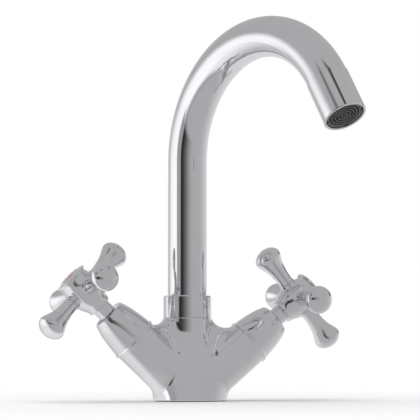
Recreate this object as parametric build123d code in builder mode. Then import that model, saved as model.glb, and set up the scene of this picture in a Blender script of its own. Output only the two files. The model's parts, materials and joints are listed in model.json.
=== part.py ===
from build123d import *
import math
import os

# Two-handle basin mixer tap. Millimetres, +Z up, origin at the centre of the
# base on the deck, -Y towards the user, hot side at -X and cold side at +X.

# ---------------------------------------------------------------- dimensions
# base and body
base_r = 23.2            # radius of the foot where it meets the deck
base_lift = 0.5          # the gasket stands this far below the metal
gasket_r_out = 22.0
gasket_r_in = 18.5
gasket_groove = 1.5
column_back = 7.0        # the spout's axis stands this far behind the base's centre
neck_r = 15.4
neck_top = 52.4
# sections that shape foot, shoulders and neck: height, half width across the
# arms, half depth, set-back
body_sections = [
    (base_lift, base_r, base_r, 0.0),
    (8.0, 24.2, 21.6, 0.7),
    (17.0, 23.8, 19.0, 2.2),
    (26.0, 21.4, 17.2, 4.0),
    (34.0, 18.2, 16.1, 5.5),
    (41.0, 16.0, 15.5, 6.7),
    (47.0, neck_r, neck_r, column_back),
    (neck_top, neck_r, neck_r, column_back),
]
nipple_r = 13.9
nipple_top = 57.5
neck_bore_r = 10.5
neck_bore_floor = 30.0
crossway_z = 34.2
crossway_y = 3.0
crossway_r = 2.8
crossway_half = 17.5

# inclined arms of the body
hot_elevation = 43.0     # slope of the arms; the left one is a little steeper
cold_elevation = 40.3
arm_meet_z = 4.2         # height at which both arm axes meet
arm_start = 12.0         # the arms' cylinders start inside the belly
arm_r = 14.65
arm_end = 49.5           # distance of the arm's end face along its axis
valve_bore_r = 10.5
valve_bore_floor = 29.0
blend_r = 10.0           # blend between the arms and the shoulders

# connections under the base
inlet_r = 4.5
inlet_depth = 12.0
inlet_x = 7.5
inlet_y = -4.5
feed_r = 3.2             # drilled way from the inlet to the valve seat
stud_hole_r = 3.4
stud_hole_depth = 14.0
stud_hole_y = 9.0

# collar and swan neck
collar_r = 15.3
collar_top = 66.5
collar_step = 62.5
tube_r = 12.5
tube_wall = 1.5
tube_foot = 60.6
bend_start = 152.8
bend_r = 70.3
bend_angle = 149.0
sleeve_r = 12.95
sleeve_length = 27.6
swivel_at_rest = 22.4    # the spout stands turned this far from straight ahead

# aerator, as distances back from the outlet's rim
aerator_bore_r = 11.4
aerator_recess = 0.8
aerator_r = 11.3
aerator_length = 12.0
grille_pitch = 1.9       # radial distance from ring to ring
grille_ring = 0.7

# shroud and handle, as distances along the arm's axis
shroud_bottom_r = 14.8
shroud_bead_r = 15.55
shroud_top = 73.4
shroud_top_r = 10.65
stem_r = 5.85
hub_bottom = 80.2
hub_r = 10.9
boss_r = 5.2
cross_plane = 95.1
hub_top = 105.2
cap_r = 10.85
cap_edge = 1.2
cap_dome = 1.6
arm_root = 12.4          # radial distance at which the cross arms butt on the hub
arm_tip = 39.2
cross_neck_r = 4.7
cross_bulb_r = 8.75
hot_clocking = 16.0      # turn of the nearest cross arm from -Y towards the column
cold_clocking = -5.0

# headwork, as distances along the arm's axis
hex_af = 21.0
barrel_r = 8.5
spindle_r = 4.45
spline_r = 3.75

# fits
slip = 0.05              # running fit, radial
snug = 0.02              # threads and push fits within one assembly

os.makedirs("parts", exist_ok=True)

elevation = {-1: math.radians(hot_elevation), 1: math.radians(cold_elevation)}


def save(builder, name):
    builder.part.label = name
    export_step(builder.part, f"parts/{name}.step")


def side_direction(sign):
    return (sign * math.cos(elevation[sign]), 0, math.sin(elevation[sign]))


def side_axis(sign):
    """Axis of an inclined arm: sign is -1 on the hot side, +1 on the cold side."""
    return Axis((0, 0, arm_meet_z), side_direction(sign))


def side_point(sign, distance):
    out, _, rise = side_direction(sign)
    return (out * distance, 0, arm_meet_z + rise * distance)


def side_profile(sign):
    """Plane holding the arm's axis: local X is the radius, local Y runs along the axis."""
    return Plane(
        origin=(0, 0, arm_meet_z),
        x_dir=(-sign * math.sin(elevation[sign]), 0, math.cos(elevation[sign])),
        z_dir=(0, sign, 0),
    )


def side_section(sign, distance):
    """Plane square to the arm's axis: local X points to -Y, facing outwards."""
    return Plane(
        origin=side_point(sign, distance),
        x_dir=(0, -1, 0),
        z_dir=side_direction(sign),
    )


# column frame: local X runs out along the spout, local Z runs up the column
swing = math.radians(swivel_at_rest)
spout_out = (math.sin(swing), -math.cos(swing), 0)
spout_side = (math.cos(swing), math.sin(swing), 0)
column = Plane((0, column_back, 0))
column_axis = Axis((0, column_back, 0), (0, 0, 1))
# local X of this plane runs out along the spout and its local Y runs up
spout_plane = Plane(
    origin=(0, column_back, 0), x_dir=spout_out, z_dir=(-spout_side[0], -spout_side[1], 0)
)

# ------------------------------------------------------------------ the body
with BuildPart() as body:
    for height, half_width, half_depth, back in body_sections:
        with BuildSketch(Plane((0, back, height))):
            if half_width == half_depth:
                Circle(half_width)
            else:
                Ellipse(half_width, half_depth)
    loft()
    for sign in (-1, 1):
        with BuildSketch(side_section(sign, arm_start)):
            Circle(arm_r)
        extrude(amount=arm_end - arm_start)
    joins = [
        edge
        for edge in body.edges()
        if edge.geom_type not in (GeomType.CIRCLE, GeomType.LINE)
        and 3 < edge.center().Z < 51
    ]
    fillet(joins, radius=blend_r)
    # soft lower rim of the foot
    rim = body.faces().filter_by(Axis.Z).sort_by(Axis.Z)[0].outer_wire().edges()
    fillet(rim, radius=0.4)
    # nipple on which the collar screws
    with BuildSketch(column.offset(neck_top)):
        Circle(nipple_r)
    extrude(amount=nipple_top - neck_top)
    # bore that takes the spout's spigot
    with BuildSketch(column.offset(nipple_top)):
        Circle(neck_bore_r)
    extrude(amount=-(nipple_top - neck_bore_floor), mode=Mode.SUBTRACT)
    # valve chambers and their seats
    for sign in (-1, 1):
        with BuildSketch(side_section(sign, arm_end)):
            Circle(valve_bore_r)
        extrude(amount=-(arm_end - valve_bore_floor), mode=Mode.SUBTRACT)
        # feed from the inlet up to the seat
        start = Vector(sign * inlet_x, inlet_y, inlet_depth - 2.0)
        seat = Vector(*side_point(sign, valve_bore_floor + 0.5))
        way = seat - start
        with BuildSketch(Plane(origin=start, z_dir=way)):
            Circle(feed_r)
        extrude(amount=way.length, mode=Mode.SUBTRACT)
        # threaded inlet under the base
        with BuildSketch(Plane((sign * inlet_x, inlet_y, 0))):
            Circle(inlet_r)
        extrude(amount=inlet_depth, mode=Mode.SUBTRACT)
    # crossway between the two valve chambers, through the spout's bore
    with BuildSketch(Plane.YZ.offset(-crossway_half)):
        with Locations((crossway_y, crossway_z)):
            Circle(crossway_r)
    extrude(amount=2 * crossway_half, mode=Mode.SUBTRACT)
    # threaded hole for the fixing stud
    with BuildSketch(Plane((0, stud_hole_y, 0))):
        Circle(stud_hole_r)
    extrude(amount=stud_hole_depth, mode=Mode.SUBTRACT)
    # groove for the base gasket
    with BuildSketch(Plane.XY):
        Circle(gasket_r_out)
        Circle(gasket_r_in, mode=Mode.SUBTRACT)
    extrude(amount=base_lift + gasket_groove, mode=Mode.SUBTRACT)
save(body, "body")

with BuildPart() as base_gasket:
    with BuildSketch():
        Circle(gasket_r_out)
        Circle(gasket_r_in, mode=Mode.SUBTRACT)
    extrude(amount=base_lift + gasket_groove)
save(base_gasket, "base_gasket")

# ------------------------------------------------- collar and swivel washers
with BuildPart() as collar_ring:
    with BuildSketch(Plane.XZ) as collar_profile:
        with BuildLine():
            Polyline(
                (nipple_r + snug, neck_top + 0.05),
                (collar_r - 0.3, neck_top + 0.05),
                (collar_r, neck_top + 0.35),
                (collar_r, collar_top - 0.7),
                (collar_r - 0.2, collar_top - 0.2),
                (collar_r - 0.7, collar_top),
                (tube_r + slip + 0.4, collar_top),
                (tube_r + slip, collar_top - 0.4),
                (tube_r + slip, collar_step),
                (nipple_r + snug, collar_step),
                (nipple_r + snug, neck_top + 0.05),
            )
        make_face()
    revolve(axis=Axis.Z)
collar_ring.part = collar_ring.part.moved(Location((0, column_back, 0)))
save(collar_ring, "collar_ring")

with BuildPart() as lower_slip_washer:
    with BuildSketch(column.offset(nipple_top)):
        Circle(nipple_r - 0.2)
        Circle(neck_bore_r + 0.1, mode=Mode.SUBTRACT)
    extrude(amount=0.8)
save(lower_slip_washer, "lower_slip_washer")

with BuildPart() as upper_slip_washer:
    with BuildSketch(column.offset(collar_step - 1.7)):
        Circle(nipple_r - 0.2)
        Circle(tube_r + 0.1, mode=Mode.SUBTRACT)
    extrude(amount=1.7)
save(upper_slip_washer, "upper_slip_washer")

# ------------------------------------------------------------- the swan neck
with BuildPart() as spout_tube:
    with BuildLine() as swan_line:
        rise = Line(spout_plane.from_local_coords((0, tube_foot)), spout_plane.from_local_coords((0, bend_start)))
        bend_rad = math.radians(bend_angle)
        bend = ThreePointArc(
            spout_plane.from_local_coords((0, bend_start)),
            spout_plane.from_local_coords(
                (bend_r - bend_r * math.cos(bend_rad / 2), bend_start + bend_r * math.sin(bend_rad / 2))
            ),
            spout_plane.from_local_coords(
                (bend_r - bend_r * math.cos(bend_rad), bend_start + bend_r * math.sin(bend_rad))
            ),
        )
    with BuildSketch(column.offset(tube_foot)):
        Circle(tube_r)
        Circle(tube_r - tube_wall, mode=Mode.SUBTRACT)
    sweep(path=swan_line.line)
save(spout_tube, "spout_tube")
print("tube volume / section x length", spout_tube.part.volume / (math.pi * (tube_r**2 - (tube_r - tube_wall) ** 2) * (bend_start - tube_foot + bend_r * math.radians(bend_angle))))

# plane at the end of the bend, facing down the outlet
bend_end = spout_plane.from_local_coords(
    (bend_r - bend_r * math.cos(bend_rad), bend_start + bend_r * math.sin(bend_rad))
)
run_out = math.sin(bend_rad)
run_down = math.cos(bend_rad)
outlet_dir = Vector(spout_out[0] * run_out, spout_out[1] * run_out, run_down)
side_dir = Vector(*spout_side)
outlet_axis = Axis(bend_end, outlet_dir)
# local X is the radius and local Y the distance along the outlet
outlet_profile = Plane(origin=bend_end, x_dir=side_dir, z_dir=side_dir.cross(outlet_dir))

with BuildPart() as outlet_sleeve:
    with BuildSketch(outlet_profile):
        with BuildLine():
            Polyline(
                (tube_r - tube_wall, 0),
                (sleeve_r - 0.35, 0),
                (sleeve_r, 0.35),
                (sleeve_r, sleeve_length - 0.5),
                (sleeve_r - 0.15, sleeve_length - 0.15),
                (sleeve_r - 0.5, sleeve_length),
                (aerator_bore_r + 0.3, sleeve_length),
                (aerator_bore_r, sleeve_length - 0.3),
                (aerator_bore_r, sleeve_length - aerator_recess - aerator_length - 1.6),
                (tube_r - tube_wall - 1.5, sleeve_length - aerator_recess - aerator_length - 1.6),
                (tube_r - tube_wall - 1.5, 1.5),
                (tube_r - tube_wall, 0),
            )
        make_face()
    revolve(axis=outlet_axis)
save(outlet_sleeve, "outlet_sleeve")

aerator_end = sleeve_length - aerator_recess
aerator_start = aerator_end - aerator_length

with BuildPart() as aerator_washer:
    with BuildSketch(outlet_profile):
        with BuildLine():
            Polyline(
                (8.6, aerator_start - 1.5),
                (11.2, aerator_start - 1.5),
                (11.2, aerator_start - 0.02),
                (8.6, aerator_start - 0.02),
                (8.6, aerator_start - 1.5),
            )
        make_face()
    revolve(axis=outlet_axis)
save(aerator_washer, "aerator_washer")

with BuildPart() as aerator_housing:
    with BuildSketch(outlet_profile):
        with BuildLine():
            Polyline(
                (9.0, aerator_start),
                (aerator_r, aerator_start),
                (aerator_r, aerator_end - 0.3),
                (aerator_r - 0.3, aerator_end),
                (9.9, aerator_end),
                (9.5, aerator_end - 0.4),
                (9.5, aerator_end - 1.6),
                (8.8, aerator_end - 1.6),
                (8.8, aerator_end - 2.4),
                (9.5, aerator_end - 2.4),
                (9.5, aerator_start + 1.2),
                (9.0, aerator_start + 1.2),
                (9.0, aerator_start),
            )
        make_face()
    revolve(axis=outlet_axis)
    # key slots for the aerator spanner
    rim_plane = Plane(origin=outlet_axis.position + outlet_dir * (aerator_end + 0.1), x_dir=side_dir, z_dir=outlet_dir)
    with BuildSketch(rim_plane):
        with PolarLocations(aerator_r - 0.55, 4, start_angle=45):
            Rectangle(1.3, 2.4)
    extrude(amount=-1.3, mode=Mode.SUBTRACT)
save(aerator_housing, "aerator_housing")

with BuildPart() as aerator_core:
    with BuildSketch(outlet_profile):
        with BuildLine():
            Polyline(
                (0, aerator_start + 1.3),
                (9.4, aerator_start + 1.3),
                (9.4, aerator_end - 3.4),
                (8.2, aerator_end - 3.4),
                (8.2, aerator_end - 6.4),
                (0, aerator_end - 6.4),
                (0, aerator_start + 1.3),
            )
        make_face()
    revolve(axis=outlet_axis)
    # ring of jets through the core's floor
    jet_plane = Plane(origin=outlet_axis.position + outlet_dir * (aerator_start + 1.2), x_dir=side_dir, z_dir=outlet_dir)
    with BuildSketch(jet_plane):
        with PolarLocations(6.2, 10):
            Circle(0.9)
    extrude(amount=aerator_length, mode=Mode.SUBTRACT)
save(aerator_core, "aerator_core")

with BuildPart() as aerator_screen:
    screen_plane = Plane(origin=outlet_axis.position + outlet_dir * (aerator_end - 3.35), x_dir=side_dir, z_dir=outlet_dir)
    with BuildSketch(screen_plane):
        Circle(9.4)
        with GridLocations(1.5, 1.5, 9, 9):
            Rectangle(1.0, 1.0, mode=Mode.SUBTRACT)
    extrude(amount=0.5)
save(aerator_screen, "aerator_screen")

# ringed jet former that closes the outlet: concentric rings on recessed ribs
with BuildPart() as aerator_grille:
    grille_plane = Plane(origin=outlet_axis.position + outlet_dir * (aerator_end - 1.58), x_dir=side_dir, z_dir=outlet_dir)
    with BuildSketch(grille_plane):
        Circle(9.4)
        Circle(8.95, mode=Mode.SUBTRACT)
        for ring in (4, 3, 2, 1):
            Circle(ring * grille_pitch + grille_ring / 2)
            Circle(ring * grille_pitch - grille_ring / 2, mode=Mode.SUBTRACT)
        SlotOverall(1.5, 0.8)
    extrude(amount=1.36)
    with BuildSketch(grille_plane):
        Circle(1.0)
        with PolarLocations(4.65, 8):
            Rectangle(9.0, 0.55)
    extrude(amount=0.6)
save(aerator_grille, "aerator_grille")

# spigot: lower barrel runs in the body, flange is held under the collar
spigot_r = neck_bore_r - slip
ring_groove_r = 9.0
ring_groove_w = 2.0
ring_heights = (38.0, 45.5)
with BuildPart() as spout_spigot:
    with BuildSketch(Plane.XZ) as spigot_profile:
        with BuildLine():
            Polyline(
                (7.5, 34.6),
                (spigot_r - 0.6, 34.6),
                (spigot_r, 35.2),
                (spigot_r, ring_heights[0]),
                (ring_groove_r, ring_heights[0]),
                (ring_groove_r, ring_heights[0] + ring_groove_w),
                (spigot_r, ring_heights[0] + ring_groove_w),
                (spigot_r, ring_heights[1]),
                (ring_groove_r, ring_heights[1]),
                (ring_groove_r, ring_heights[1] + ring_groove_w),
                (spigot_r, ring_heights[1] + ring_groove_w),
                (spigot_r, nipple_top + 0.85),
                (nipple_r - 0.3, nipple_top + 0.85),
                (nipple_r - 0.3, tube_foot),
                (tube_r - tube_wall, tube_foot),
                (tube_r - tube_wall, tube_foot + 9.0),
                (tube_r - tube_wall - 1.2, tube_foot + 10.0),
                (7.5, tube_foot + 10.0),
                (7.5, 34.6),
            )
        make_face()
    revolve(axis=Axis.Z)
spout_spigot.part = spout_spigot.part.moved(Location((0, column_back, 0)))
save(spout_spigot, "spout_spigot")

with BuildPart() as spout_o_rings:
    for height in ring_heights:
        with BuildSketch(Plane.XZ):
            with Locations(((ring_groove_r + neck_bore_r - 0.02) / 2, height + ring_groove_w / 2)):
                RectangleRounded(neck_bore_r - 0.02 - ring_groove_r, ring_groove_w - 0.1, 0.6)
        revolve(axis=Axis.Z)
spout_o_rings.part = spout_o_rings.part.moved(Location((0, column_back, 0)))
save(spout_o_rings, "spout_o_rings")

# ------------------------------------------------ valves and handles, by side
for side, sign, clocking in (("hot", -1, hot_clocking), ("cold", 1, cold_clocking)):
    axis = side_axis(sign)
    profile = side_profile(sign)

    with BuildPart() as shroud:
        with BuildSketch(profile):
            with BuildLine():
                Polyline((13.2, arm_end), (shroud_bottom_r + 0.1, arm_end), (shroud_bottom_r + 0.35, arm_end + 0.2))
                ThreePointArc(
                    (shroud_bottom_r + 0.35, arm_end + 0.2),
                    (shroud_bead_r, arm_end + 1.1),
                    (shroud_bottom_r + 0.3, arm_end + 2.1),
                )
                ThreePointArc(
                    (shroud_bottom_r + 0.3, arm_end + 2.1),
                    (shroud_bottom_r + 0.02, arm_end + 2.4),
                    (shroud_bottom_r - 0.08, arm_end + 2.8),
                )
                Spline(
                    (shroud_bottom_r - 0.08, arm_end + 2.8),
                    (14.2, arm_end + 8.0),
                    (13.1, arm_end + 15.0),
                    (11.7, arm_end + 20.5),
                    (shroud_top_r, shroud_top - 0.4),
                    tangents=((-0.03, 1), (-0.32, 1)),
                )
                Polyline(
                    (shroud_top_r, shroud_top - 0.4),
                    (shroud_top_r - 0.5, shroud_top),
                    (9.6, shroud_top),
                    (9.3, shroud_top - 0.3),
                    (9.3, shroud_top - 1.0),
                    (stem_r + 0.35, shroud_top - 1.0),
                    (stem_r + 0.35, 66.05),
                    (barrel_r + snug, 66.05),
                    (barrel_r + snug, 60.5),
                    (12.0, 56.5),
                    (13.2, arm_end + 2.0),
                    (13.2, arm_end),
                )
            make_face()
        revolve(axis=axis)
    save(shroud, f"{side}_shroud")

    with BuildPart() as seat_seal:
        with BuildSketch(side_section(sign, valve_bore_floor)):
            Circle(7.8)
            Circle(4.4, mode=Mode.SUBTRACT)
        extrude(amount=2.0)
    save(seat_seal, f"{side}_seat_seal")

    with BuildPart() as fixed_disc:
        with BuildSketch(side_section(sign, valve_bore_floor + 2.02)):
            Circle(8.4)
            SlotArc(CenterArc((0, 0), 4.2, -35, 70), 2.6, mode=Mode.SUBTRACT)
            SlotArc(CenterArc((0, 0), 4.2, 145, 70), 2.6, mode=Mode.SUBTRACT)
        extrude(amount=3.0)
    save(fixed_disc, f"{side}_fixed_disc")

    with BuildPart() as headwork:
        with BuildSketch(profile):
            with BuildLine():
                Polyline(
                    (8.5, 30.0),
                    (9.6, 30.0),
                    (9.6, 37.5),
                    (valve_bore_r - snug, 38.2),
                    (valve_bore_r - snug, arm_end - 1.4),
                    (9.2, arm_end - 1.4),
                    (9.2, arm_end + 0.02),
                    (11.6, arm_end + 0.02),
                    (11.6, arm_end + 0.8),
                    (barrel_r, arm_end + 0.8),
                    (barrel_r, 65.6),
                    (barrel_r - 0.4, 66.0),
                    (spindle_r + slip, 66.0),
                    (spindle_r + slip, 43.0),
                    (8.5, 43.0),
                    (8.5, 30.0),
                )
            make_face()
        revolve(axis=axis)
        # hexagon for the spanner
        with BuildSketch(side_section(sign, arm_end + 0.8)):
            RegularPolygon(hex_af / 2, 6, major_radius=False)
            Circle(barrel_r, mode=Mode.SUBTRACT)
        extrude(amount=4.2)
        # water windows in the cage
        with BuildSketch(side_section(sign, 31.5)):
            with PolarLocations(9.0, 4):
                Rectangle(4.0, 4.6)
        extrude(amount=5.0, mode=Mode.SUBTRACT)
    save(headwork, f"{side}_headwork")

    with BuildPart() as headwork_seal:
        with BuildSketch(profile):
            with Locations(((9.2 + valve_bore_r - 0.05) / 2, arm_end - 0.7)):
                RectangleRounded(valve_bore_r - 0.05 - 9.2, 1.3, 0.4)
        revolve(axis=axis)
    save(headwork_seal, f"{side}_headwork_seal")

    with BuildPart() as moving_disc:
        with BuildSketch(side_section(sign, valve_bore_floor + 5.05)):
            Circle(8.4)
            SlotArc(CenterArc((0, 0), 4.2, 55, 70), 2.6, mode=Mode.SUBTRACT)
            SlotArc(CenterArc((0, 0), 4.2, 235, 70), 2.6, mode=Mode.SUBTRACT)
        extrude(amount=2.8)
        # keyway for the spindle's driver
        with BuildSketch(side_section(sign, valve_bore_floor + 7.85)):
            Rectangle(12.0, 3.1)
        extrude(amount=-1.0, mode=Mode.SUBTRACT)
    save(moving_disc, f"{side}_moving_disc")

    with BuildPart() as spindle:
        with BuildSketch(profile):
            with BuildLine():
                Polyline(
                    (0, valve_bore_floor + 7.9),
                    (8.2, valve_bore_floor + 7.9),
                    (8.2, 41.5),
                    (7.6, 42.9),
                    (spindle_r, 42.9),
                    (spindle_r, 47.0),
                    (3.2, 47.0),
                    (3.2, 49.2),
                    (spindle_r, 49.2),
                    (spindle_r, 66.3),
                    (3.6, 66.3),
                    (3.6, 67.4),
                    (spindle_r, 67.4),
                    (spindle_r, 69.4),
                    (spline_r, 70.0),
                    (spline_r, cross_plane - 5.4),
                    (spline_r - 0.4, cross_plane - 5.0),
                    (2.1, cross_plane - 5.0),
                    (2.1, cross_plane - 16.0),
                    (0, cross_plane - 17.0),
                    (0, valve_bore_floor + 7.9),
                )
            make_face()
        revolve(axis=axis)
        # driver key
        with BuildSketch(side_section(sign, valve_bore_floor + 7.9)):
            Rectangle(11.8, 2.9)
        extrude(amount=-0.9)
        # splines
        with BuildSketch(side_section(sign, 71.0)):
            with PolarLocations(spline_r, 20):
                Rectangle(0.5, 0.6)
        extrude(amount=cross_plane - 4.9 - 71.0, mode=Mode.SUBTRACT)
    save(spindle, f"{side}_spindle")

    with BuildPart() as spindle_o_ring:
        with BuildSketch(profile):
            with Locations(((3.2 + spindle_r + slip - 0.02) / 2, 48.1)):
                RectangleRounded(spindle_r + slip - 0.02 - 3.2, 2.1, 0.5)
        revolve(axis=axis)
    save(spindle_o_ring, f"{side}_spindle_o_ring")

    with BuildPart() as spindle_circlip:
        with BuildSketch(side_section(sign, 66.35)):
            Circle(5.4)
            Circle(3.62, mode=Mode.SUBTRACT)
            with Locations((5.0, 0)):
                Rectangle(5.0, 2.6, mode=Mode.SUBTRACT)
        extrude(amount=0.95)
    save(spindle_circlip, f"{side}_spindle_circlip")

    with BuildPart() as stem_sleeve:
        with BuildSketch(profile):
            with BuildLine():
                Polyline(
                    (spindle_r + 0.25, 67.7),
                    (stem_r, 67.7),
                    (stem_r, hub_bottom),
                    (4.9, hub_bottom),
                    (4.9, hub_bottom + 2.5),
                    (spline_r + 0.05, hub_bottom + 2.5),
                    (spline_r + 0.05, 71.5),
                    (spindle_r + 0.25, 71.5),
                    (spindle_r + 0.25, 67.7),
                )
            make_face()
        revolve(axis=axis)
    save(stem_sleeve, f"{side}_stem_sleeve")

    turn = math.radians(clocking)
    inward = Vector(-sign * math.sin(elevation[sign]), 0, math.cos(elevation[sign]))
    toward = Vector(0, -1, 0)
    centre = Vector(*side_point(sign, cross_plane))
    spokes = []
    for quarter in range(4):
        a = turn + quarter * math.pi / 2
        spokes.append(toward * math.cos(a) + inward * math.sin(a))

    with BuildPart() as hub:
        with BuildSketch(profile):
            with BuildLine():
                Polyline(
                    (4.95, hub_bottom),
                    (7.3, hub_bottom),
                    (7.7, hub_bottom + 0.3),
                )
                Spline(
                    (7.7, hub_bottom + 0.3),
                    (8.05, hub_bottom + 2.6),
                    (9.4, hub_bottom + 5.4),
                    (10.5, hub_bottom + 8.2),
                    (hub_r, cross_plane - 3.5),
                    tangents=((0.05, 1), (0.0, 1)),
                )
                Line((hub_r, cross_plane - 3.5), (hub_r, cross_plane + 3.2))
                Spline(
                    (hub_r, cross_plane + 3.2),
                    (10.6, cross_plane + 6.0),
                    (9.9, hub_top - 1.6),
                    (9.7, hub_top),
                    tangents=((0, 1), (0, 1)),
                )
                Polyline(
                    (9.7, hub_top),
                    (5.5, hub_top),
                    (5.5, cross_plane - 2.4),
                    (2.65, cross_plane - 2.4),
                    (2.65, cross_plane - 4.8),
                    (spline_r + 0.03, cross_plane - 4.8),
                    (spline_r + 0.03, hub_bottom + 2.6),
                    (4.95, hub_bottom + 2.6),
                    (4.95, hub_bottom),
                )
            make_face()
        revolve(axis=axis)
        # short bosses that carry the cross arms, and their stud holes
        for spoke in spokes:
            with BuildSketch(Plane(origin=centre + spoke * 6.5, z_dir=spoke)):
                Circle(boss_r)
            extrude(amount=arm_root - 6.5)
        with BuildSketch(profile):
            with BuildLine():
                Polyline(
                    (0, cross_plane - 2.4),
                    (5.5, cross_plane - 2.4),
                    (5.5, hub_top + 1),
                    (0, hub_top + 1),
                    (0, cross_plane - 2.4),
                )
            make_face()
        revolve(axis=axis, mode=Mode.SUBTRACT)
        for spoke in spokes:
            with BuildSketch(Plane(origin=centre + spoke * 5.0, z_dir=spoke)):
                Circle(2.5)
            extrude(amount=arm_root - 4.0, mode=Mode.SUBTRACT)
    save(hub, f"{side}_handle_hub")

    with BuildPart() as cross_arms:
        for spoke in spokes:
            lateral = Vector(*side_direction(sign))
            spoke_profile = Plane(origin=centre, x_dir=lateral, z_dir=lateral.cross(spoke))
            with BuildSketch(spoke_profile):
                with BuildLine():
                    Polyline(
                        (0, 6.2),
                        (2.5 - snug, 6.2),
                        (2.5 - snug, arm_root + 0.02),
                        (cross_neck_r - 0.25, arm_root + 0.02),
                        (cross_neck_r, arm_root + 0.3),
                    )
                    Spline(
                        (cross_neck_r, arm_root + 0.3),
                        (cross_neck_r + 0.05, arm_root + 4.2),
                        (5.2, arm_tip - 18.4),
                        (6.0, arm_tip - 14.3),
                        (7.15, arm_tip - 10.9),
                        (8.25, arm_tip - 8.2),
                        (cross_bulb_r, arm_tip - 6.0),
                        (8.4, arm_tip - 4.4),
                        (7.2, arm_tip - 2.75),
                        (5.1, arm_tip - 1.15),
                        (2.6, arm_tip - 0.28),
                        (0, arm_tip),
                        tangents=((0, 1), (-1, 0)),
                    )
                    Line((0, arm_tip), (0, 6.2))
                make_face()
            revolve(axis=Axis(centre, spoke))
    save(cross_arms, f"{side}_handle_arms")

    with BuildPart() as handle_screw:
        with BuildSketch(profile):
            with BuildLine():
                Polyline(
                    (0, cross_plane - 13.5),
                    (2.1 - snug, cross_plane - 13.5),
                    (2.1 - snug, cross_plane - 5.0),
                    (2.5, cross_plane - 4.7),
                    (2.5, cross_plane - 2.38),
                    (4.2, cross_plane - 2.38),
                    (4.2, cross_plane - 0.4),
                    (3.6, cross_plane + 0.2),
                    (0, cross_plane + 0.2),
                    (0, cross_plane - 13.5),
                )
            make_face()
        revolve(axis=axis)
        with BuildSketch(side_section(sign, cross_plane + 0.2)):
            RegularPolygon(2.0, 6, major_radius=False)
        extrude(amount=-1.9, mode=Mode.SUBTRACT)
    save(handle_screw, f"{side}_handle_screw")

    with BuildPart() as index_cap:
        with BuildSketch(profile):
            with BuildLine():
                Polyline(
                    (0, cross_plane + 3.5),
                    (5.5 - snug, cross_plane + 3.5),
                    (5.5 - snug, hub_top + 0.02),
                    (cap_r - 0.3, hub_top + 0.02),
                    (cap_r, hub_top + 0.3),
                    (cap_r, hub_top + cap_edge - 0.3),
                )
                Spline(
                    (cap_r, hub_top + cap_edge - 0.3),
                    (cap_r - 0.5, hub_top + cap_edge + 0.15),
                    (8.6, hub_top + cap_edge + 0.72),
                    (6.6, hub_top + cap_edge + 1.12),
                    tangents=((0, 1), (-1, 0.14)),
                )
                Polyline(
                    (6.6, hub_top + cap_edge + 1.12),
                    (6.6, hub_top + cap_edge + 0.3),
                    (0, hub_top + cap_edge + 0.3),
                    (0, cross_plane + 3.5),
                )
            make_face()
        revolve(axis=axis)
    save(index_cap, f"{side}_index_cap")

    with BuildPart() as index_disc:
        with BuildSketch(profile):
            with BuildLine():
                Polyline(
                    (0, hub_top + cap_edge + 0.3),
                    (6.6 - snug, hub_top + cap_edge + 0.3),
                    (6.6 - snug, hub_top + cap_edge + 1.0),
                )
                Spline(
                    (6.6 - snug, hub_top + cap_edge + 1.0),
                    (3.5, hub_top + cap_edge + 1.45),
                    (0, hub_top + cap_edge + cap_dome),
                    tangents=((-1, 0.2), (-1, 0)),
                )
                Line((0, hub_top + cap_edge + cap_dome), (0, hub_top + cap_edge + 0.3))
            make_face()
        revolve(axis=axis)
    save(index_disc, f"{side}_index_disc")
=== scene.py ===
import json
import math

import bmesh
import bpy
import numpy as np
from mathutils import Matrix, Vector

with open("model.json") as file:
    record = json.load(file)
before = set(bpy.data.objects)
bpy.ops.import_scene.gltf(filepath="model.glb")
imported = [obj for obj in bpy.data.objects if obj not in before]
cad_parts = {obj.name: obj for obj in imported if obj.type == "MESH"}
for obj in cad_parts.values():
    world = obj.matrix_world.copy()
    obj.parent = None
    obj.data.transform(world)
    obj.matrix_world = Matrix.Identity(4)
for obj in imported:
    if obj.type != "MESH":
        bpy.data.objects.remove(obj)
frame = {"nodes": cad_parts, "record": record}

MM = 0.001
scene = bpy.context.scene
nodes = frame["nodes"]


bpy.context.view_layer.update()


# ------------------------------------------------------------------ the camera
def make_camera():
    """Pinhole camera at the photograph's viewing angle, pitched up a little, no shift."""
    azimuth = math.radians(-17.26)
    pitch = math.radians(5.2123)
    right = Vector((math.cos(azimuth), math.sin(azimuth), 0))
    level = Vector((-math.sin(azimuth), math.cos(azimuth), 0))
    forward = level * math.cos(pitch) + Vector((0, 0, math.sin(pitch)))
    up = -level * math.sin(pitch) + Vector((0, 0, math.cos(pitch)))
    place = Vector((0, 0.007, 0.02747)) - level * 1.03261 + right * 0.01453
    data = bpy.data.cameras.new("camera")
    data.sensor_width = 36.0
    data.lens = 1614.88 / 420 * 36.0
    data.clip_start = 0.02
    data.clip_end = 50.0
    camera = bpy.data.objects.new("camera", data)
    scene.collection.objects.link(camera)
    camera.matrix_world = Matrix(
        (
            (right.x, up.x, -forward.x, place.x),
            (right.y, up.y, -forward.y, place.y),
            (right.z, up.z, -forward.z, place.z),
            (0, 0, 0, 1),
        )
    )
    scene.camera = camera


make_camera()


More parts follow.
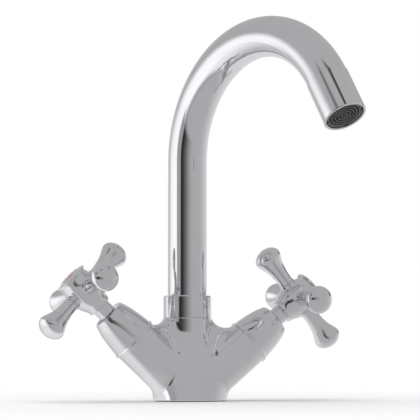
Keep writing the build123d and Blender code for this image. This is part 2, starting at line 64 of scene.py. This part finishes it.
# ------------------------------------------------------------------ node helpers
class Tree:
    """Short way to write a shader tree: every call makes one node and returns its output."""

    def __init__(self, tree):
        self.tree = tree
        self.tree.nodes.clear()

    def node(self, kind, **settings):
        made = self.tree.nodes.new(kind)
        for key, value in settings.items():
            setattr(made, key, value)
        return made

    def put(self, socket, value):
        if isinstance(value, bpy.types.NodeSocket):
            self.tree.links.new(value, socket)
        else:
            socket.default_value = value

    def math(self, operation, a, b=0.0, c=0.0, clamp=False):
        made = self.node("ShaderNodeMath", operation=operation, use_clamp=clamp)
        self.put(made.inputs[0], a)
        self.put(made.inputs[1], b)
        self.put(made.inputs[2], c)
        return made.outputs[0]

    def step(self, value, low, high, out_low=0.0, out_high=1.0):
        made = self.node("ShaderNodeMapRange", interpolation_type="SMOOTHSTEP")
        self.put(made.inputs["Value"], value)
        self.put(made.inputs["From Min"], low)
        self.put(made.inputs["From Max"], high)
        self.put(made.inputs["To Min"], out_low)
        self.put(made.inputs["To Max"], out_high)
        return made.outputs["Result"]

    def ramp(self, value, stops, interpolation="LINEAR"):
        made = self.node("ShaderNodeValToRGB")
        made.color_ramp.interpolation = interpolation
        elements = made.color_ramp.elements
        while len(elements) > 1:
            elements.remove(elements[0])
        for index, (place, colour) in enumerate(stops):
            element = elements[0] if index == 0 else elements.new(place)
            element.position = place
            if not isinstance(colour, (tuple, list)):
                colour = (colour, colour, colour)
            element.color = (*colour, 1.0)
        self.put(made.inputs[0], value)
        return made.outputs[0]

    def mix(self, factor, a, b, blend="MIX"):
        made = self.node("ShaderNodeMix", data_type="RGBA", blend_type=blend)
        self.put(made.inputs[0], factor)
        for socket, value in ((made.inputs[6], a), (made.inputs[7], b)):
            if isinstance(value, tuple) and len(value) == 3:
                value = (*value, 1.0)
            self.put(socket, value)
        return made.outputs[2]

    def lerp(self, factor, a, b):
        made = self.node("ShaderNodeMix", data_type="FLOAT")
        self.put(made.inputs[0], factor)
        self.put(made.inputs[2], a)
        self.put(made.inputs[3], b)
        return made.outputs[0]


# ------------------------------------------------------------------ the surroundings
FRONT = 17.26  # heading of the camera as seen from the tap, degrees to the left of -Y
FLAG = ((-44.0, -36.0), (-34.0, 34.0))  # headings of a dark flag far off in front, its right side long and soft


def window(t, value, rise, fall):
    """1 between the two ramps, 0 outside them."""
    return t.math("MULTIPLY", t.step(value, rise[0], rise[1]), t.step(value, fall[1], fall[0]))


def heading_of(t, x, y):
    """0 = towards the camera, + = image right, degrees."""
    heading = t.math("MULTIPLY", t.math("ARCTAN2", x, t.math("MULTIPLY", y, -1.0)), 180 / math.pi)
    return t.math("WRAP", t.math("ADD", heading, FRONT), 180.0, -180.0)


def surround(t, heading, height):
    """Brightness of the grey room by heading and height: pale at the back, a dark gap high in front."""

    def patch(rise, fall, low, high):
        return t.math("MULTIPLY", window(t, heading, rise, fall), window(t, height, low, high))

    back_turn = t.math("ADD", t.step(heading, 62.0, 165.0), t.step(heading, -125.0, -165.0))
    back = t.math("MULTIPLY", back_turn, window(t, height, (-80.0, -40.0), (5.0, 37.0)))
    edge = patch((-76.0, -60.0), (-46.0, -34.0), (-30.0, -12.0), (12.0, 30.0))
    gap = patch((-62.0, -52.0), (-44.0, -34.0), (22.0, 30.0), (36.0, 43.0))
    slit = patch((-36.0, 4.0), (7.0, 12.0), (53.0, 56.0), (60.0, 63.0))
    strip = patch((110.0, 122.0), (146.0, 158.0), (9.0, 14.0), (21.0, 30.0))
    value = t.lerp(t.math("MULTIPLY", back, 1.0, clamp=True), 0.49, 0.80)
    value = t.lerp(t.math("MULTIPLY", strip, 0.85), value, 0.06)
    value = t.lerp(t.math("MULTIPLY", edge, 0.65), value, 0.36)
    value = t.lerp(t.math("MULTIPLY", gap, 0.7), value, 0.08)
    return t.lerp(t.math("MULTIPLY", slit, 0.95), value, 0.04)


def make_world():
    world = bpy.data.worlds.new("studio")
    scene.world = world
    world.use_nodes = True
    t = Tree(world.node_tree)
    split = t.node("ShaderNodeSeparateXYZ")
    t.put(split.inputs[0], t.node("ShaderNodeTexCoord").outputs["Generated"])
    x, y, z = split.outputs
    height = t.math("MULTIPLY", t.math("ARCSINE", z), 180 / math.pi)
    heading = heading_of(t, x, y)
    flag = t.math("MULTIPLY", window(t, heading, *FLAG), window(t, height, (-26.0, -18.0), (8.0, 14.0)))
    value = t.lerp(flag, surround(t, heading, height), 0.03)
    rays = t.node("ShaderNodeLightPath")
    value = t.lerp(rays.outputs["Is Camera Ray"], value, 1.0)
    shade = t.node("ShaderNodeBackground")
    shade.inputs["Color"].default_value = (1, 1, 1, 1)
    t.put(shade.inputs["Strength"], value)
    out = t.node("ShaderNodeOutputWorld")
    t.tree.links.new(shade.outputs[0], out.inputs[0])


make_world()


def make_light(name, place, aim, size, power):
    data = bpy.data.lights.new(name, "AREA")
    data.shape = "RECTANGLE"
    data.size, data.size_y = size
    data.energy = power
    light = bpy.data.objects.new(name, data)
    scene.collection.objects.link(light)
    light.location = place
    light.rotation_euler = (Vector(aim) - Vector(place)).to_track_quat("-Z", "Y").to_euler()
    light.visible_glossy = False
    return light


make_light("soft_top", (-0.25, 0.1, 1.5), (0, 0, 0), (1.8, 1.8), 21.0)


def make_card(name, heading, distance, across, upright, lean, value):
    """Upright studio card that only reflections see. across and upright are its soft edges in metres."""
    (left_out, left_in), (right_in, right_out) = across
    (low_out, low_in), (high_in, high_out) = upright
    angle = math.radians(heading - FRONT)
    mesh = bpy.data.meshes.new(name)
    bm = bmesh.new()
    columns, rows = 8, 4
    grid = [
        [
            bm.verts.new((left_out + (right_out - left_out) * i / columns, 0, low_out + (high_out - low_out) * j / rows))
            for i in range(columns + 1)
        ]
        for j in range(rows + 1)
    ]
    for j in range(rows):
        for i in range(columns):
            bm.faces.new((grid[j][i], grid[j][i + 1], grid[j + 1][i + 1], grid[j + 1][i]))
    bm.to_mesh(mesh)
    bm.free()
    card = bpy.data.objects.new(name, mesh)
    scene.collection.objects.link(card)
    card.matrix_world = Matrix.Translation(
        (distance * math.sin(angle), -distance * math.cos(angle), 0)
    ) @ Matrix.Rotation(angle, 4, "Z")
    card.visible_camera = False
    card.visible_diffuse = False
    card.visible_transmission = False
    card.visible_volume_scatter = False
    card.visible_shadow = False
    material = bpy.data.materials.new(name)
    material.use_nodes = True
    t = Tree(material.node_tree)
    place = t.node("ShaderNodeSeparateXYZ")
    t.put(place.inputs[0], t.node("ShaderNodeTexCoord").outputs["Object"])
    side, _, up = place.outputs
    side = t.math("ADD", side, t.math("MULTIPLY", up, lean))
    cover = t.math(
        "MULTIPLY",
        window(t, side, (left_out, left_in), (right_in, right_out)),
        window(t, up, (low_out, low_in), (high_in, high_out)),
    )
    glow = t.node("ShaderNodeEmission")
    glow.inputs["Strength"].default_value = value
    mixed = t.node("ShaderNodeMixShader")
    t.put(mixed.inputs[0], cover)
    t.tree.links.new(t.node("ShaderNodeBsdfTransparent").outputs[0], mixed.inputs[1])
    t.tree.links.new(glow.outputs[0], mixed.inputs[2])
    out = t.node("ShaderNodeOutputMaterial")
    t.tree.links.new(mixed.outputs[0], out.inputs[0])
    mesh.materials.append(material)


make_card("white_card", -87.0, 0.63, ((-0.77, 0.0), (0.265, 0.335)), ((-0.01, 0.0), (0.19, 0.48)), 0.18, 1.22)


def make_floor():
    """Pale round floor. In reflections it glows with a painted reflection that carries on the surroundings down to the
    foot.
    """
    mesh = bpy.data.meshes.new("floor")
    bm = bmesh.new()
    rings, around = 24, 96
    previous = None
    centre = bm.verts.new((0, 0, 0))
    for ring in range(1, rings + 1):
        radius = 1.1 * (ring / rings) ** 1.5
        row = [
            bm.verts.new((radius * math.cos(2 * math.pi * k / around), radius * math.sin(2 * math.pi * k / around), 0))
            for k in range(around)
        ]
        for k in range(around):
            if previous is None:
                bm.faces.new((centre, row[k], row[(k + 1) % around]))
            else:
                bm.faces.new((previous[k], row[k], row[(k + 1) % around], previous[(k + 1) % around]))
        previous = row
    bm.to_mesh(mesh)
    bm.free()
    floor = bpy.data.objects.new("floor", mesh)
    scene.collection.objects.link(floor)
    material = bpy.data.materials.new("floor_with_painted_reflection")
    material.use_nodes = True
    t = Tree(material.node_tree)
    rays = t.node("ShaderNodeLightPath")
    where = t.node("ShaderNodeTexCoord").outputs["Object"]
    split = t.node("ShaderNodeSeparateXYZ")
    t.put(split.inputs[0], where)
    x, y, _ = split.outputs
    away = t.math("SQRT", t.math("ADD", t.math("MULTIPLY", x, x), t.math("MULTIPLY", y, y)))
    # the height under which a point of the floor is seen from the handles
    height = t.math("MULTIPLY", t.math("ARCTAN2", -0.05, away), 180 / math.pi)
    heading = heading_of(t, x, y)
    # painted reflection of the room on the floor, painted brighter close to the foot
    room = t.math("MULTIPLY", surround(t, heading, height), t.step(away, 0.02, 0.06, 1.2, 1.0))
    # painted light in reflections: pale on the left, in front of the white card, with painted shade making it darker
    # close to the foot
    pale = t.lerp(t.step(away, 0.16, 0.45), t.step(away, 0.09, 0.14, 0.88, 1.0), 1.25)
    left = window(t, heading, (-150.0, -68.0), (-63.0, -44.0))
    # painted dark reflection of the flag far off in front
    flag = t.math("MULTIPLY", window(t, heading, *FLAG), t.step(away, 0.48, 1.0))
    glow = t.node("ShaderNodeEmission")
    t.put(glow.inputs["Strength"], t.lerp(flag, t.lerp(left, room, pale), 0.03))
    grain = t.node("ShaderNodeTexNoise")
    grain.inputs["Scale"].default_value = 900.0
    t.put(grain.inputs["Vector"], where)
    bsdf = t.node("ShaderNodeBsdfPrincipled")
    bsdf.inputs["Base Color"].default_value = (0.86, 0.86, 0.86, 1)
    t.put(bsdf.inputs["Roughness"], t.lerp(grain.outputs[0], 0.75, 0.95))
    bsdf.inputs["Specular IOR Level"].default_value = 0.1
    # away from the tap the floor runs out into plain white
    white = t.node("ShaderNodeEmission")
    plain = t.node("ShaderNodeMixShader")
    t.put(plain.inputs[0], t.math("MULTIPLY", rays.outputs["Is Camera Ray"], t.step(away, 0.05, 0.40)))
    t.tree.links.new(bsdf.outputs[0], plain.inputs[1])
    t.tree.links.new(white.outputs[0], plain.inputs[2])
    # glossy rays see the painted reflection glow instead of the lit floor
    pick = t.node("ShaderNodeMixShader")
    t.tree.links.new(rays.outputs["Is Glossy Ray"], pick.inputs[0])
    t.tree.links.new(plain.outputs[0], pick.inputs[1])
    t.tree.links.new(glow.outputs[0], pick.inputs[2])
    out = t.node("ShaderNodeOutputMaterial")
    t.tree.links.new(pick.outputs[0], out.inputs[0])
    mesh.materials.append(material)
    return floor


make_floor()

scene.view_settings.view_transform = "Standard"
scene.view_settings.look = "None"
scene.view_settings.exposure = 0.0
scene.view_settings.gamma = 1.0


# ------------------------------------------------------------------ materials
def chrome(name, waviness=1.0, seed=0.0):
    material = bpy.data.materials.new(name)
    material.use_nodes = True
    t = Tree(material.node_tree)
    where = t.node("ShaderNodeTexCoord").outputs["Object"]
    shifted = t.node("ShaderNodeVectorMath", operation="ADD")
    t.put(shifted.inputs[0], where)
    shifted.inputs[1].default_value = (seed, seed * 0.7, seed * 0.3)
    place = shifted.outputs[0]

    def noise(scale, detail=2.0, rough=0.5):
        made = t.node("ShaderNodeTexNoise")
        made.inputs["Scale"].default_value = scale
        made.inputs["Detail"].default_value = detail
        made.inputs["Roughness"].default_value = rough
        t.put(made.inputs["Vector"], place)
        return made.outputs[0]

    smudge = noise(45.0, 3.0)
    fine = noise(1400.0, 2.0)
    tone = t.mix(t.step(smudge, 0.35, 0.7), (0.80, 0.799, 0.827), (0.765, 0.764, 0.79))
    bsdf = t.node("ShaderNodeBsdfPrincipled")
    t.put(bsdf.inputs["Base Color"], tone)
    bsdf.inputs["Metallic"].default_value = 1.0
    roughness = t.math("ADD", t.step(smudge, 0.4, 0.75, 0.028, 0.06), t.math("MULTIPLY", fine, 0.02))
    t.put(bsdf.inputs["Roughness"], roughness)
    swell = t.node("ShaderNodeBump")
    swell.inputs["Strength"].default_value = 0.5 * waviness
    swell.inputs["Distance"].default_value = 0.00003
    t.put(swell.inputs["Height"], noise(110.0, 1.0))
    peel = t.node("ShaderNodeBump")
    peel.inputs["Strength"].default_value = 0.25
    peel.inputs["Distance"].default_value = 0.000002
    t.put(peel.inputs["Height"], fine)
    t.tree.links.new(swell.outputs[0], peel.inputs["Normal"])
    t.tree.links.new(peel.outputs[0], bsdf.inputs["Normal"])
    out = t.node("ShaderNodeOutputMaterial")
    t.tree.links.new(bsdf.outputs[0], out.inputs[0])
    return material


def dull(name, colour, other, roughness, metallic=0.0, scale=600.0, bump=0.3, depth=0.00003):
    """Rubber, plastic, brass, steel: two close tones, uneven roughness and a fine grain."""
    material = bpy.data.materials.new(name)
    material.use_nodes = True
    t = Tree(material.node_tree)
    where = t.node("ShaderNodeTexCoord").outputs["Object"]

    def noise(scale, detail=2.0):
        made = t.node("ShaderNodeTexNoise")
        made.inputs["Scale"].default_value = scale
        made.inputs["Detail"].default_value = detail
        t.put(made.inputs["Vector"], where)
        return made.outputs[0]

    patch = noise(scale * 0.15, 3.0)
    grain = noise(scale * 3.0)
    bsdf = t.node("ShaderNodeBsdfPrincipled")
    t.put(bsdf.inputs["Base Color"], t.mix(t.step(patch, 0.35, 0.65), colour, other))
    bsdf.inputs["Metallic"].default_value = metallic
    t.put(bsdf.inputs["Roughness"], t.lerp(grain, roughness * 0.8, min(1.0, roughness * 1.2)))
    lump = t.node("ShaderNodeBump")
    lump.inputs["Strength"].default_value = bump
    lump.inputs["Distance"].default_value = depth
    t.put(lump.inputs["Height"], grain)
    t.tree.links.new(lump.outputs[0], bsdf.inputs["Normal"])
    out = t.node("ShaderNodeOutputMaterial")
    t.tree.links.new(bsdf.outputs[0], out.inputs[0])
    return material


def index(name, colour, other):
    """Printed index under a clear glossy face."""
    material = dull(name, colour, other, 0.4, bump=0.1)
    bsdf = next(n for n in material.node_tree.nodes if n.type == "BSDF_PRINCIPLED")
    bsdf.inputs["Coat Weight"].default_value = 1.0
    bsdf.inputs["Coat Roughness"].default_value = 0.02
    bsdf.inputs["Coat IOR"].default_value = 1.75
    return material


finishes = {
    "chrome": chrome("chrome_plate"),
    "rubber": dull("black_rubber", (0.02, 0.02, 0.02), (0.03, 0.03, 0.031), 0.6),
    "brass": dull("turned_brass", (0.70, 0.52, 0.25), (0.62, 0.45, 0.21), 0.28, metallic=1.0),
    "acetal": dull("white_acetal", (0.78, 0.78, 0.75), (0.72, 0.72, 0.69), 0.45),
    "aerator_plastic": dull("grey_plastic", (0.085, 0.083, 0.088), (0.10, 0.098, 0.104), 0.38),
    "steel": dull("stainless_steel", (0.56, 0.56, 0.57), (0.50, 0.50, 0.51), 0.3, metallic=1.0),
    "ceramic": dull("lapped_ceramic", (0.86, 0.85, 0.82), (0.82, 0.81, 0.78), 0.25),
    "red_index": index("red_index", (0.30, 0.03, 0.03), (0.25, 0.02, 0.022)),
    "blue_index": index("blue_index", (0.03, 0.06, 0.30), (0.02, 0.05, 0.25)),
}
slots = {row["node"]: row["material_slot"] for row in frame["record"]["subparts"]}
for name, piece in nodes.items():
    material = finishes[slots[name]]
    if len(piece.material_slots) == 0:
        piece.data.materials.append(material)
    for slot in piece.material_slots:
        slot.material = material
